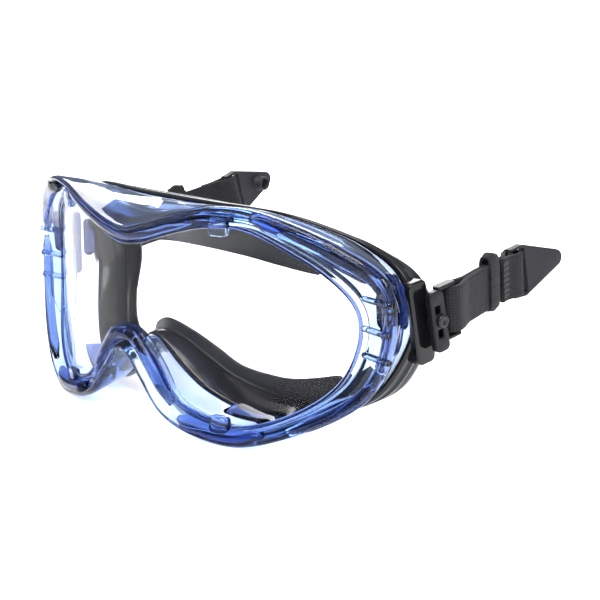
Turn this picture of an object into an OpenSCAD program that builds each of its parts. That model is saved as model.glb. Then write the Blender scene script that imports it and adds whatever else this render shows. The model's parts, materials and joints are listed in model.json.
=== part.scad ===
// Wide-view safety goggles with two short helmet straps.
// +X is the wearer's left, +Y runs back towards the face, +Z is up, all in millimetres.
// The shapes are worked out in the lens frame, whose zero is the middle of the lens's front face,
// and place() then moves each node so that the origin is under the middle of the whole object.

/* [Lens] */
// Radius of the lens's front face, seen from above
lens_r = 118.8; // [116:0.1:124]
// Thickness of the polycarbonate sheet
lens_t = 2; // [1.6:0.1:2.2]
// Depth of the lens's edge inside the frame's groove
groove_d = 2.2; // [1.8:0.1:2.6]

/* [Frame] */
// Thickness of the clear frame's walls
wall = 2.4; // [2:0.1:2.8]
// Height of the bead round the lens opening, above the lens
bead_h = 2.2; // [1.6:0.1:2.6]
// How far the front rim stands ahead of the lens at the nose
rim_front = 3.5; // [3:0.1:4]
// How far the front rim runs back, 80 mm out from the middle
rim_wrap = 23.5; // [22:0.1:25]
// Number of ventilation slots in each group
vent_count = 4; // [2:1:5]

/* [Rear frame and seal] */
// Thickness of the black ring's wall
ring_wall = 2.2; // [1.8:0.1:2.6]
// Thickness of the soft sealing lip
lip_t = 2; // [1.6:0.1:2.4]
// Gap between pieces that are pressed together
fit_gap = 0.3; // [0.2:0.05:0.4]

/* [Bracket] */
// Height of the swivel bracket's plate
bracket_h = 17.6; // [17.6:0.2:20]
// Thickness of the plate
bracket_t = 2.2; // [2:0.1:2.4]
// Radius of the pivot pin's shaft
pin_r = 1.3; // [1.1:0.05:1.5]
// Radial clearance of the bracket on its pin
pin_clear = 0.06; // [0.03:0.01:0.1]
// Radius of the bar that the strap is looped round
bar_r = 0.8; // [0.7:0.05:0.9]
// Tilt of the left bracket, in degrees
left_tilt = 12; // [8:1:14]
// Tilt of the right bracket, in degrees
right_tilt = 18; // [14:1:22]

/* [Strap] */
// Width of the webbing
strap_w = 12.2; // [11.8:0.2:12.4]
// Thickness of one layer of webbing
strap_t = 1.4; // [1.2:0.1:1.6]
// Distance from the left bracket's bar to its clip's bar
left_len = 38.5; // [36:0.5:60]
// Distance from the right bracket's bar to its clip's bar
right_len = 41.5; // [36:0.5:60]
// Length of the layer that is folded back from the bracket
fold_len = 27; // [26:0.5:28]
// Angle at which the left strap runs in towards the head, in degrees
left_in = 17; // [12:1:20]
// Angle at which the right strap runs in towards the head, in degrees
right_in = 22; // [14:1:24]
// Rise of the left strap, in degrees
left_rise = 5; // [2:1:10]
// Rise of the right strap, in degrees
right_rise = 16; // [12:1:20]

/* [Clip] */
// Width of the clip at its base
clip_w = 15.8; // [15.8:0.2:19]
// Length of the clip from its base to its tip
clip_len = 21.5; // [19:0.5:24]
// Thickness of the clip
clip_t = 2.8; // [2.4:0.1:3.2]
// Radius of the stud on the clip's inner face
stud_r = 2.4; // [2:0.1:2.6]
// Height of the stud
stud_h = 3.2; // [2.5:0.1:4]
// Rise of the left clip, in degrees
left_clip_rise = 10; // [6:1:14]
// Rise of the right clip, in degrees
right_clip_rise = 15; // [12:1:20]
// Angle at which the left clip runs in towards the head, in degrees
left_clip_in = -2; // [-6:1:4]
// Angle at which the right clip runs in towards the head, in degrees
right_clip_in = -6; // [-8:1:4]

/* [Hidden] */
$fn = 48;

// From the lens frame to the origin under the middle of the object
middle_y = 52.5;
base_z = 34.3;

// Colours
clear_blue = [0.62, 0.72, 0.93, 0.6];
clear_lens = [0.92, 0.95, 1, 0.35];
gloss_black = [0.1, 0.1, 0.11];
seal_grey = [0.3, 0.3, 0.32];
vent_blue = [0.3, 0.34, 0.6];
satin_black = [0.16, 0.16, 0.17];
steel_grey = [0.3, 0.3, 0.3];
webbing_grey = [0.19, 0.19, 0.21];
thread_grey = [0.26, 0.26, 0.28];
clip_grey = [0.24, 0.23, 0.25];

// Outlines of the wearer's left half, from the brow's middle round the temple to the nose.
// Lens opening as seen from the front: [x, z]
opening_half = [
    [0, 18.6], [8, 19.8], [18, 23], [31, 26.3], [44, 26.8], [56, 21.7], [66, 15], [72, 7],
    [72.4, -3], [68, -14], [58, -22.5], [44, -28], [31, -26.5], [21, -22.5], [14, -13.5],
    [6.5, -6.3], [0, -4.6]
];
// Outer corner of the front rim as seen from the front: [x, z]
rim_half = [
    [0, 24.5], [9, 26], [21, 29.3], [34, 33], [47, 33.6], [60, 30.6], [73, 25], [84.3, 16.5],
    [86.2, 1], [81, -14.5], [66.5, -25.7], [47, -33.6], [31, -33.4], [18, -29.3], [9.3, -21],
    [3.8, -15], [0, -12.8]
];
// Rear edge of the clear frame's outer wall: [x, y, z]
edge_half = [
    [0, 15, 31], [9, 15, 31], [20, 16, 31], [32, 18, 31], [44, 21, 30.3], [56, 26, 27.6],
    [67, 32, 23], [75, 38, 14.5], [77.3, 40.3, 0], [70, 35, -17.5], [58, 28.5, -26],
    [44, 23, -30.5], [31, 18, -29.5], [18.5, 14, -25], [10, 11, -18.5], [4, 9.5, -12.8],
    [0, 9, -11]
];
// Rear outer edge of the black ring: [x, y, z]
ring_half = [
    [0, 25, 29.4], [9, 25.2, 29.3], [20, 26, 29], [32, 28.4, 28], [44, 32, 26.2],
    [55, 37, 23.4], [65.5, 42.5, 19.4], [73.5, 48, 13], [76, 50.5, 0], [70, 46, -17.5],
    [58, 39, -24.3], [44, 33, -27], [31, 28, -26.5], [20, 23, -22.5], [12.5, 18.5, -16.8],
    [6, 15.3, -12], [0, 14, -10.4]
];
// Inner edge of the lip that touches the face: [x, y, z]
lip_half = [
    [0, 29.5, 14.8], [9, 30, 14.6], [19, 31.2, 14], [29, 33, 12.9], [40, 36, 11.6],
    [50, 40, 10.6], [60, 45.5, 9.6], [66, 51, 6.5], [68, 52.8, -1], [63, 47, -11],
    [52, 39.5, -16.6], [39, 33, -19.6], [30, 29, -19.2], [22, 25, -17], [15.5, 21.5, -12.4],
    [8.5, 18, -8], [0, 16, -5.5]
];
// Points worked out along each smooth stretch between two outline points
steps = 3;

// Places in the lens frame
pivot = [82, 46.5, 2.9];
bar_x = -1.5;
bar_y = 6.3;
bar_z = 1.5;
plate_back = 1.9;
plate_front = -3.4;
window = [2, 2.4];
window_z = 3.4;
pin_head_r = 1.9;
pin_head_t = 0.8;
bar_slot_h = strap_w + 1.6;
ear_t = 1;
loop_r = 1.9;
clip_loop_r = 1.9;
clip_bar_r = 0.8;
clip_bar_y = 1.7;
clip_slot = 4.4;
clip_corner = 2;
clip_shoulder_y = 5.2;
clip_tip_r = 2.6;
stud_y = 13.5;
keeper_y = 23.5;
keeper_l = 5;
lug_h = 19;
lug_x = 76.6;
boss_r = 2.1;

function unit(v) = v / norm(v);
function mix(a, b, t) = a * (1 - t) + b * t;
function flip(p) = [for (k = [0 : len(p) - 1]) k == 0 ? -p[0] : p[k]];
function both_halves(half) = concat(half, [for (i = [len(half) - 2 : -1 : 1]) flip(half[i])]);

// Catmull-Rom curve through four neighbouring points, t running from b to c
function curve(a, b, c, d, t) =
    (2 * b + (c - a) * t + (2 * a - 5 * b + 4 * c - d) * t * t
        + (3 * b - a - 3 * c + d) * t * t * t) / 2;
function smooth_loop(half) =
    let (p = both_halves(half), n = len(p))
    [for (i = [0 : n - 1], j = [0 : steps - 1])
        curve(p[(i + n - 1) % n], p[i], p[(i + 1) % n], p[(i + 2) % n], j / steps)];

opening = smooth_loop(opening_half);
rim = smooth_loop(rim_half);
edge = smooth_loop(edge_half);
ring = smooth_loop(ring_half);
lip = smooth_loop(lip_half);
count = len(opening);

// Point on the lens's front face at [x, z], raised by h in front of it
function on_lens(x, z, h) =
    let (c = sqrt(lens_r * lens_r - x * x), k = 1 + h / lens_r)
    [x * k, lens_r - c * k, z];
// Point at [x, z] on the lens's front face moved by h, straight behind or ahead of it
function on_shell(x, z, h) = [x, lens_r - sqrt((lens_r + h) * (lens_r + h) - x * x), z];
function rim_y(x) = rim_wrap * (x / 80) * (x / 80) - rim_front;
function rim_point(i) = [rim[i][0], rim_y(rim[i][0]), rim[i][1]];
// Outward direction at a station, seen from the front: [x, z]
function outward(i) = unit(rim[i] - opening[i]);
function outward3(i) = [outward(i)[0], 0, outward(i)[1]];
// Point k outside the lens opening, measured along the lens, and h in front of it
function near_lens(i, k, h) =
    let (a = opening[i] + k * outward(i))
    on_lens(a[0], a[1], h);
// The same for the straight walls of the groove that the lens slides into
function near_shell(i, k, h) =
    let (a = opening[i] + k * outward(i))
    on_shell(a[0], a[1], h);

// Closed section of the clear frame: bead, front panel, rim, side wall and lens groove
function frame_section(i) =
    let (
        c = rim_point(i),
        r = edge[i],
        o = outward3(i),
        bead = near_lens(i, 3.1, bead_h * 0.5),
        behind = -lens_t - 0.05,
        step_in = (wall + 0.2) * o,
        inner = mix(c, r, 0.55) - step_in,
        flange = near_shell(i, 3.6, behind - 2),
        // the hollow behind the front panel is filled where it would be too narrow
        fill = min(1, max(0, (3 - (inner - flange) * o) / 2))
    )
    [
        near_shell(i, 0, 0.05),
        near_lens(i, 0.2, bead_h * 0.7),
        near_lens(i, 1.3, bead_h),
        bead,
        mix(bead, c, 0.6) + [0, -0.5, 0],
        c - 1.4 * o + [0, 0.1, 0],
        c - 0.2 * o + [0, 0.9, 0],
        c + [0, 2.4, 0],
        mix(c, r, 0.55) + 0.5 * o,
        r,
        r - wall * o,
        inner,
        mix(c - 1.1 * step_in + [0, wall + 0.8, 0], (inner + flange) / 2, fill),
        flange,
        near_shell(i, 0.8, behind - 1.4),
        near_shell(i, 0.8, behind),
        near_shell(i, groove_d, behind),
        near_shell(i, groove_d, 0.05)
    ];

// Closed section of the black ring, from the clear frame's edge back to the lip
function ring_section(i) =
    let (r = edge[i], t = ring[i], o = outward3(i), w = unit(t - r), f = r + (fit_gap + 0.2) * w)
    [
        f + 0.3 * o,
        f + 1.2 * o + 1.2 * w,
        mix(r, t, 0.45) + 0.7 * o,
        mix(r, t, 0.7) + 1.1 * o,
        t,
        t - ring_wall * o,
        mix(r, t, 0.5) - ring_wall * o,
        f - ring_wall * o
    ];

// Closed section of the soft lip, which curls in from the ring towards the face
function lip_section(i) =
    let (
        t = ring[i],
        l = lip[i],
        o = outward3(i),
        s = t + [0, fit_gap, 0] - 0.4 * o,
        back = [0, 1, 0],
        belly = mix(s, l, 0.5) + 1.5 * back
    )
    [
        s,
        mix(s, belly, 0.5) + 0.9 * back,
        belly,
        l,
        l - 0.5 * lip_t * back - 0.4 * o,
        belly - lip_t * back,
        mix(s, belly, 0.6) - (lip_t - 0.9) * back - 0.2 * o,
        s - 0.85 * lip_t * o
    ];

// Band of faces between neighbouring sections of n points each
function band(n, from, to) =
    [for (k = [0 : n - 1])
        each [
            [from * n + k, to * n + (k + 1) % n, to * n + k],
            [from * n + k, from * n + (k + 1) % n, to * n + (k + 1) % n]
        ]];
module closed_sweep(sections) {
    n = len(sections[0]);
    m = len(sections);
    polyhedron(
        points = [for (s = sections) each s],
        faces = [for (i = [0 : m - 1]) each band(n, i, (i + 1) % m)],
        convexity = 8
    );
}
module open_sweep(sections) {
    n = len(sections[0]);
    m = len(sections);
    polyhedron(
        points = [for (s = sections) each s],
        faces = concat(
            [for (i = [0 : m - 2]) each band(n, i, i + 1)],
            [[for (k = [n - 1 : -1 : 0]) k]],
            [[for (k = [0 : n - 1]) (m - 1) * n + k]]
        ),
        convexity = 4
    );
}

module place() {
    translate([0, -middle_y, base_z]) children();
}
// The wearer's left side as it is, and the right side as its mirror image
module side(left) {
    mirror([left ? 0 : 1, 0, 0]) children();
}

// Slots through the brow's top wall and the lobes' bottom wall
module vent_slots() {
    for (k = [0 : vent_count - 1], s = [-1, 1]) {
        translate([s * (27 + 5 * k) - 1, 8 + k, 27.5]) cube([2, 4.5, 9]);
        translate([s * (29 + 5 * k) - 1, 9 + k, -38]) cube([2, 4.5, 9.6]);
    }
}
module frame_body() {
    color(clear_blue) place() difference() {
        closed_sweep([for (i = [0 : count - 1]) frame_section(i)]);
        vent_slots();
    }
}

module lens_outline(grow) {
    polygon([for (i = [0 : count - 1]) opening[i] + grow * outward(i)]);
}
module lens() {
    color(clear_lens) place() intersection() {
        rotate([90, 0, 0]) translate([0, 0, -45]) linear_extrude(60) lens_outline(groove_d - 0.15);
        translate([0, lens_r, -40]) difference() {
            cylinder(h = 80, r = lens_r, $fn = 240);
            translate([0, 0, -1]) cylinder(h = 82, r = lens_r - lens_t, $fn = 240);
        }
    }
}

// Pad on the ring that carries the pivot pin at each temple
module lug() {
    translate([74, pivot[1] - 5.4, pivot[2] - lug_h / 2]) cube([lug_x - 74, 6.4, lug_h]);
    translate([74, pivot[1], pivot[2]]) rotate([0, 90, 0]) cylinder(h = 6.6, r = boss_r);
}
module rear_frame() {
    color(gloss_black) place() difference() {
        union() {
            closed_sweep([for (i = [0 : count - 1]) ring_section(i)]);
            for (left = [true, false]) side(left) lug();
        }
        for (left = [true, false]) side(left)
            translate([75.6, pivot[1], pivot[2]]) rotate([0, 90, 0]) cylinder(h = 6, r = pin_r + 0.02);
    }
}
module face_seal() {
    color(seal_grey) place() closed_sweep([for (i = [0 : count - 1]) lip_section(i)]);
}

// Baffle that hangs inside the frame's wall, between two stations of the outline
function baffle_section(i) =
    let (c = rim_point(i), r = edge[i], o = outward3(i))
    [
        mix(c, r, 0.62) - (wall + 0.8) * o,
        mix(c, r, 0.95) - (wall + 0.8) * o,
        mix(c, r, 0.95) - (wall + 2) * o,
        mix(c, r, 0.62) - (wall + 2) * o
    ];
module baffle(first, last) {
    open_sweep([for (i = [first : last]) baffle_section(i)]);
}
module top_vent(left) {
    color(vent_blue) place() side(left) baffle(2 * steps, 5 * steps);
}
module bottom_vent(left) {
    color(vent_blue) place() side(left) baffle(10 * steps, 12 * steps);
}

function tilt(left) = left ? left_tilt : right_tilt;
function rise(left) = left ? left_rise : right_rise;
function turn_in(left) = left ? left_in : right_in;
function reach(left) = left ? left_len : right_len;
function clip_turn(left) = left ? left_clip_in : right_clip_in;
function clip_rise(left) = left ? left_clip_rise : right_clip_rise;
// Place of the bracket's bar, and of the clip's bar, in the lens frame on the wearer's left
function bar_place(left) =
    let (t = tilt(left))
    pivot + [bar_x, bar_y * cos(t) - bar_z * sin(t), bar_y * sin(t) + bar_z * cos(t)];
function clip_place(left) =
    bar_place(left)
    + reach(left) * [
        -sin(turn_in(left)) * cos(rise(left)),
        cos(turn_in(left)) * cos(rise(left)),
        sin(rise(left))
    ];
module at_bracket(left) {
    place() side(left) translate(pivot) rotate([tilt(left), 0, 0]) children();
}
module at_strap(left) {
    place() side(left) translate(bar_place(left)) rotate([rise(left), 0, turn_in(left)]) children();
}
module at_clip(left) {
    place() side(left) translate(clip_place(left)) rotate([clip_rise(left), 0, clip_turn(left)]) children();
}

// Rectangle with round corners, from one corner to the other
module round_plate(from, to, r) {
    translate([from[0], from[1] + r]) square([to[0] - from[0], to[1] - from[1] - 2 * r]);
    translate([from[0] + r, from[1]]) square([to[0] - from[0] - 2 * r, to[1] - from[1]]);
    for (x = [from[0] + r, to[0] - r], y = [from[1] + r, to[1] - r]) translate([x, y]) circle(r = r);
}
// Plate on the pivot, with an ear above and below the strap that hold the strap's bar
module bracket(left) {
    ear_z = bar_slot_h / 2;
    ear_x = bar_x - bar_r - 0.2;
    ear_y = plate_back - 1.6;
    color(satin_black) at_bracket(left) {
        difference() {
            rotate([90, 0, 90]) translate([0, 0, -bracket_t / 2]) linear_extrude(bracket_t)
                round_plate([plate_front, -bracket_h / 2], [plate_back, bracket_h / 2], 1.2);
            rotate([0, 90, 0]) cylinder(h = 10, r = pin_r + pin_clear, center = true);
            for (s = [-1, 1]) translate([0, -1, s * window_z])
                cube([bracket_t + 1, window[0], window[1]], center = true);
        }
        for (s = [-1, 1]) {
            translate([ear_x, ear_y, bar_z + (s > 0 ? ear_z : -ear_z - ear_t)])
                cube([bracket_t / 2 - 0.1 - ear_x, bar_y + bar_r + 0.3 - ear_y, ear_t]);
        }
        translate([bar_x, bar_y, bar_z - ear_z - 0.8]) cylinder(h = 2 * ear_z + 1.6, r = bar_r);
    }
}
module pivot_pin(left) {
    color(steel_grey) place() side(left) translate(pivot) rotate([0, 90, 0]) {
        translate([0, 0, -6.2]) cylinder(h = 6.2 + bracket_t / 2 + 0.2, r = pin_r);
        translate([0, 0, bracket_t / 2 + 0.15]) cylinder(h = pin_head_t, r = pin_head_r);
    }
}

// Side view of the webbing: a loop at each end and the layer folded back on the outside
module strap_profile(len) {
    difference() {
        union() {
            circle(r = loop_r + strap_t);
            translate([-strap_t, 0]) square([strap_t, len]);
            translate([0, 0]) square([strap_t, fold_len]);
            translate([0, len]) circle(r = clip_loop_r + strap_t);
            translate([0, len - 9]) square([strap_t, 9]);
        }
        circle(r = loop_r);
        translate([0, len]) circle(r = clip_loop_r);
    }
}
module strap(left) {
    color(webbing_grey) at_strap(left)
        translate([0, 0, -strap_w / 2]) linear_extrude(strap_w) strap_profile(reach(left));
}
module strap_keeper(left) {
    gap = 0.15;
    outer = [2 * strap_t + 2 * gap + 1.6, keeper_l, strap_w + 2 * gap + 1.6];
    inner = [2 * strap_t + 2 * gap, keeper_l + 2, strap_w + 2 * gap];
    color(webbing_grey) at_strap(left) translate([0, keeper_y, 0]) difference() {
        cube(outer, center = true);
        cube(inner, center = true);
    }
}
// Bar tacks across the doubled end of the webbing
module stitching(left) {
    color(thread_grey) at_strap(left)
        translate([strap_t + 0.1, reach(left) - 6.7, 0]) {
            for (k = [-1.5 : 1 : 1.5]) translate([0, k, 0]) cube([0.2, 0.5, strap_w - 2], center = true);
            for (s = [-1, 1]) translate([0, 0, s * (strap_w / 2 - 1.3)]) cube([0.2, 3.5, 0.6], center = true);
        }
}

// Triangle with round corners, its base on the line y = 0
module clip_outline() {
    half_w = clip_w / 2 - clip_corner;
    tip_y = clip_len - clip_tip_r;
    drop = tip_y - clip_shoulder_y;
    lean = atan2(half_w, drop) + asin((clip_tip_r - clip_corner) / norm([half_w, drop]));
    out = [cos(lean), sin(lean)];
    corner = [half_w, clip_shoulder_y];
    tip = [0, tip_y];
    polygon([
        [-clip_w / 2 + 0.2, 0], [clip_w / 2 - 0.2, 0], [clip_w / 2, clip_shoulder_y],
        corner + clip_corner * out, tip + clip_tip_r * out,
        flip(tip + clip_tip_r * out), flip(corner + clip_corner * out),
        [-clip_w / 2, clip_shoulder_y]
    ]);
    for (s = [-1, 1]) translate([s * half_w, clip_shoulder_y]) circle(r = clip_corner);
    translate(tip) circle(r = clip_tip_r);
}
module clip(left) {
    slot_w = strap_w + 1.6;
    color(clip_grey) at_clip(left) translate([0, -clip_bar_y, 0]) {
        rotate([0, -90, 0]) difference() {
            translate([0, 0, -clip_t / 2]) linear_extrude(clip_t) clip_outline();
            translate([-slot_w / 2, -1, -clip_t])
                cube([slot_w, clip_bar_y + clip_slot + 1, 2 * clip_t]);
        }
        translate([0, clip_bar_y, -slot_w / 2 - 0.6]) cylinder(h = slot_w + 1.2, r = clip_bar_r);
    }
}
module clip_stud(left) {
    color(clip_grey) at_clip(left) translate([-clip_t / 2, stud_y, 0])
        rotate([0, -90, 0]) cylinder(h = stud_h, r = stud_r);
}

frame_body();
lens();
rear_frame();
face_seal();
top_vent(true);  // top_vent_left
top_vent(false);  // top_vent_right
bottom_vent(true);  // bottom_vent_left
bottom_vent(false);  // bottom_vent_right
bracket(true);  // bracket_left
bracket(false);  // bracket_right
pivot_pin(true);  // pivot_pin_left
pivot_pin(false);  // pivot_pin_right
strap(true);  // strap_left
strap(false);  // strap_right
strap_keeper(true);  // strap_keeper_left
strap_keeper(false);  // strap_keeper_right
stitching(true);  // stitching_left
stitching(false);  // stitching_right
clip(true);  // clip_left
clip(false);  // clip_right
clip_stud(true);  // clip_stud_left
clip_stud(false);  // clip_stud_right
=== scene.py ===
"""Builds the finished look of a pair of wide-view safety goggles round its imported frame.

The shapes are worked out in the lens frame, in millimetres: zero is the middle of the lens's front
face, +X is the wearer's left, +Y runs back towards the face and +Z is up. Every piece is then
placed in the part's own frame, in metres.
"""

import json
import logging
import math
from dataclasses import dataclass
from enum import Enum
from typing import Iterable, Optional, Sequence

import bmesh
import bpy
import numpy as np
from mathutils import Matrix, Vector

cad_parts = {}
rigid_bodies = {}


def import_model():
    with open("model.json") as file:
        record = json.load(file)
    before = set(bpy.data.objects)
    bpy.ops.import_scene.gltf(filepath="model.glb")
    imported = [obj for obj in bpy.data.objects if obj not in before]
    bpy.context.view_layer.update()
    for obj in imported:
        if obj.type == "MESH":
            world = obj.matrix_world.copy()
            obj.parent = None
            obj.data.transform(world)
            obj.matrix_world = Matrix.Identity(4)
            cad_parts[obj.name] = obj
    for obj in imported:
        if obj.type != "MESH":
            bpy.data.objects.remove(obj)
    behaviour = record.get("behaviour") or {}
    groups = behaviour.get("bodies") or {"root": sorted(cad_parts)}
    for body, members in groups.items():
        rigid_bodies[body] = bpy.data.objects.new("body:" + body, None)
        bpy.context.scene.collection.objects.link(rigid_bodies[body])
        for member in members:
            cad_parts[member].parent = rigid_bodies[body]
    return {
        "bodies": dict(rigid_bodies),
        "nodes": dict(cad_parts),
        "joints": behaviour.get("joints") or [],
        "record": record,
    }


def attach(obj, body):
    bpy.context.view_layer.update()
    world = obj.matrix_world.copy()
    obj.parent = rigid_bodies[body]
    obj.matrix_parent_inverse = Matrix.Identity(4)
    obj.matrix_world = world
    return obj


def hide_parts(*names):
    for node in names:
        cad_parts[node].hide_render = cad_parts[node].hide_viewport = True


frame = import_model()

LOG = logging.getLogger("goggles")
MM = 0.001
PER_METRE = 1000.0
MM_FRAME = Matrix.Scale(MM, 4)
# Plates keep a hard edge where two faces meet at more than this
CREASE = math.radians(35)
# A turned piece's profile stops this short of its axis, in mm, and a flat face closes it
POLE_RADIUS = 0.02
LENS_TO_PART = np.array([0.0, -52.5, 34.3])
WHITE = (1.0, 1.0, 1.0, 1.0)
Tree = bpy.types.NodeTree
Socket = bpy.types.NodeSocket
Piece = bpy.types.Object


class Side(Enum):
    """The wearer's left or right."""

    LEFT = "left"
    RIGHT = "right"

    @property
    def sign(self) -> float:
        """+1 on the left and -1 on the right."""
        return 1.0 if self is Side.LEFT else -1.0


class Level(Enum):
    """Where a vent sits: under the brow, or over the lower lobe."""

    TOP = "top"
    BOTTOM = "bottom"


# ----------------------------------------------- colour and node helpers


def linear(code: str, alpha: float = 1.0) -> tuple[float, float, float, float]:
    """Turns an sRGB hex colour into the linear colour that shaders take.

    Args:
        code: six hex digits, with or without a leading #.
        alpha: the fourth value.

    Returns:
        Linear red, green, blue and alpha.
    """
    digits = code.lstrip("#")
    srgb = np.array([int(digits[k : k + 2], 16) for k in (0, 2, 4)]) / 255.0
    low = srgb / 12.92
    high = ((srgb + 0.055) / 1.055) ** 2.4
    red, green, blue = np.where(srgb <= 0.04045, low, high)
    return float(red), float(green), float(blue), alpha


def add_node(
    tree: Tree,
    kind: str,
    inputs: Optional[dict] = None,
    stops: Sequence[tuple] = (),
    **settings: str,
) -> bpy.types.Node:
    """Adds one shader node, with its settings, values, links and colour stops.

    Args:
        tree: the node tree it goes into.
        kind: the node's class name without the ShaderNode prefix.
        inputs: input name or number to a value, or to the output socket to link.
        stops: pairs of position and linear colour, for a colour ramp.
        settings: attributes to set on the node.

    Returns:
        The new node.
    """
    node = tree.nodes.new("ShaderNode" + kind)
    for name, value in settings.items():
        setattr(node, name, value)
    for name, value in (inputs or {}).items():
        if isinstance(value, Socket):
            tree.links.new(value, node.inputs[name])
        else:
            node.inputs[name].default_value = value
    if stops:
        elements = node.color_ramp.elements
        while len(elements) < len(stops):
            elements.new(0.5)
        for element, (position, colour) in zip(elements, stops):
            element.position = position
            element.color = colour
    return node


@dataclass(frozen=True)
class Finish:
    """What every finish has: a name and a material made once."""

    name: str

    def make(self) -> bpy.types.Material:
        """Returns the finish's material, made on first use."""
        material = bpy.data.materials.get(self.name)
        if material is None:
            material = bpy.data.materials.new(self.name)
            material.use_nodes = True
            tree = material.node_tree
            tree.nodes.clear()
            place = add_node(tree, "TexCoord").outputs["Object"]
            add_node(tree, "OutputMaterial", self.dress(tree, place))
        return material

    def dress(self, tree: Tree, place: Socket) -> dict[str, Socket]:
        """Adds the finish's own nodes; each kind of finish has its own way.

        Args:
            tree: the material's node tree.
            place: the shaded point in the piece's own frame, in metres.

        Returns:
            What goes into the material output's Surface and Volume.
        """
        raise NotImplementedError


@dataclass(frozen=True)
class ClearMoulding(Finish):
    """Clear plastic with some dye in it: pale where thin and deep-coloured along its edges."""

    tint: str = "#EDF2FA"
    dye: str = "#7CAEDD"
    dye_density: float = 230.0
    roughness: float = 0.03
    ior: float = 1.33
    ripple_mm: float = 9.0
    ripple_depth: float = 0.05
    ripple_height: float = 0.002
    shadow: str = "#DCE6FA"

    def dress(self, tree: Tree, place: Socket) -> dict[str, Socket]:
        """Refracting shader with moulding ripple, a dyed inside, and a light shadow.

        Args:
            tree: the material's node tree.
            place: the shaded point.

        Returns:
            The surface, and the dye's volume if there is dye.
        """
        wave = add_node(
            tree, "TexNoise", {"Vector": place, "Scale": PER_METRE / self.ripple_mm, "Detail": 2.0}
        ).outputs["Fac"]
        relief = {"Strength": self.ripple_depth, "Distance": self.ripple_height, "Height": wave}
        glass = add_node(
            tree,
            "BsdfPrincipled",
            {
                "Base Color": linear(self.tint),
                "Roughness": self.roughness,
                "IOR": self.ior,
                "Transmission Weight": 1.0,
                "Normal": add_node(tree, "Bump", relief).outputs["Normal"],
            },
        )
        clear = add_node(tree, "BsdfTransparent", {"Color": linear(self.shadow)})
        is_shadow = add_node(tree, "LightPath").outputs["Is Shadow Ray"]
        both = add_node(
            tree, "MixShader", {0: is_shadow, 1: glass.outputs[0], 2: clear.outputs[0]}
        )
        made = {"Surface": both.outputs[0]}
        if self.dye_density > 0:
            bath = {"Color": linear(self.dye), "Density": self.dye_density}
            made["Volume"] = add_node(tree, "VolumeAbsorption", bath).outputs[0]
        return made


@dataclass(frozen=True)
class MouldedPlastic(Finish):
    """Opaque moulded plastic: a fine grain in its skin and a little wear in its gloss."""

    colour: str = "#1E1E22"
    second: str = "#26262B"
    roughness: float = 0.25
    rough_spread: float = 0.08
    grain_mm: float = 0.6
    grain_depth: float = 0.1
    grain_height: float = 0.0004
    patch_mm: float = 14.0
    specular: float = 0.5

    def dress(self, tree: Tree, place: Socket) -> dict[str, Socket]:
        """Two close colours in soft patches, grain in the bump, and uneven gloss.

        Args:
            tree: the material's node tree.
            place: the shaded point.

        Returns:
            The surface.
        """
        patch, grain = (
            add_node(
                tree, "TexNoise", {"Vector": place, "Scale": PER_METRE / size, "Detail": detail}
            ).outputs["Fac"]
            for size, detail in ((self.patch_mm, 4.0), (self.grain_mm, 3.0))
        )
        stops = [(0.35, linear(self.colour)), (0.68, linear(self.second))]
        spread = {
            "Value": patch,
            "From Min": 0.3,
            "From Max": 0.7,
            "To Min": max(0.02, self.roughness - self.rough_spread),
            "To Max": self.roughness + self.rough_spread,
        }
        relief = {"Strength": self.grain_depth, "Distance": self.grain_height, "Height": grain}
        skin = add_node(
            tree,
            "BsdfPrincipled",
            {
                "Base Color": add_node(tree, "ValToRGB", {"Fac": patch}, stops).outputs["Color"],
                "Roughness": add_node(tree, "MapRange", spread).outputs["Result"],
                "Normal": add_node(tree, "Bump", relief).outputs["Normal"],
                "Specular IOR Level": self.specular,
            },
        )
        return {"Surface": skin.outputs[0]}


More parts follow.
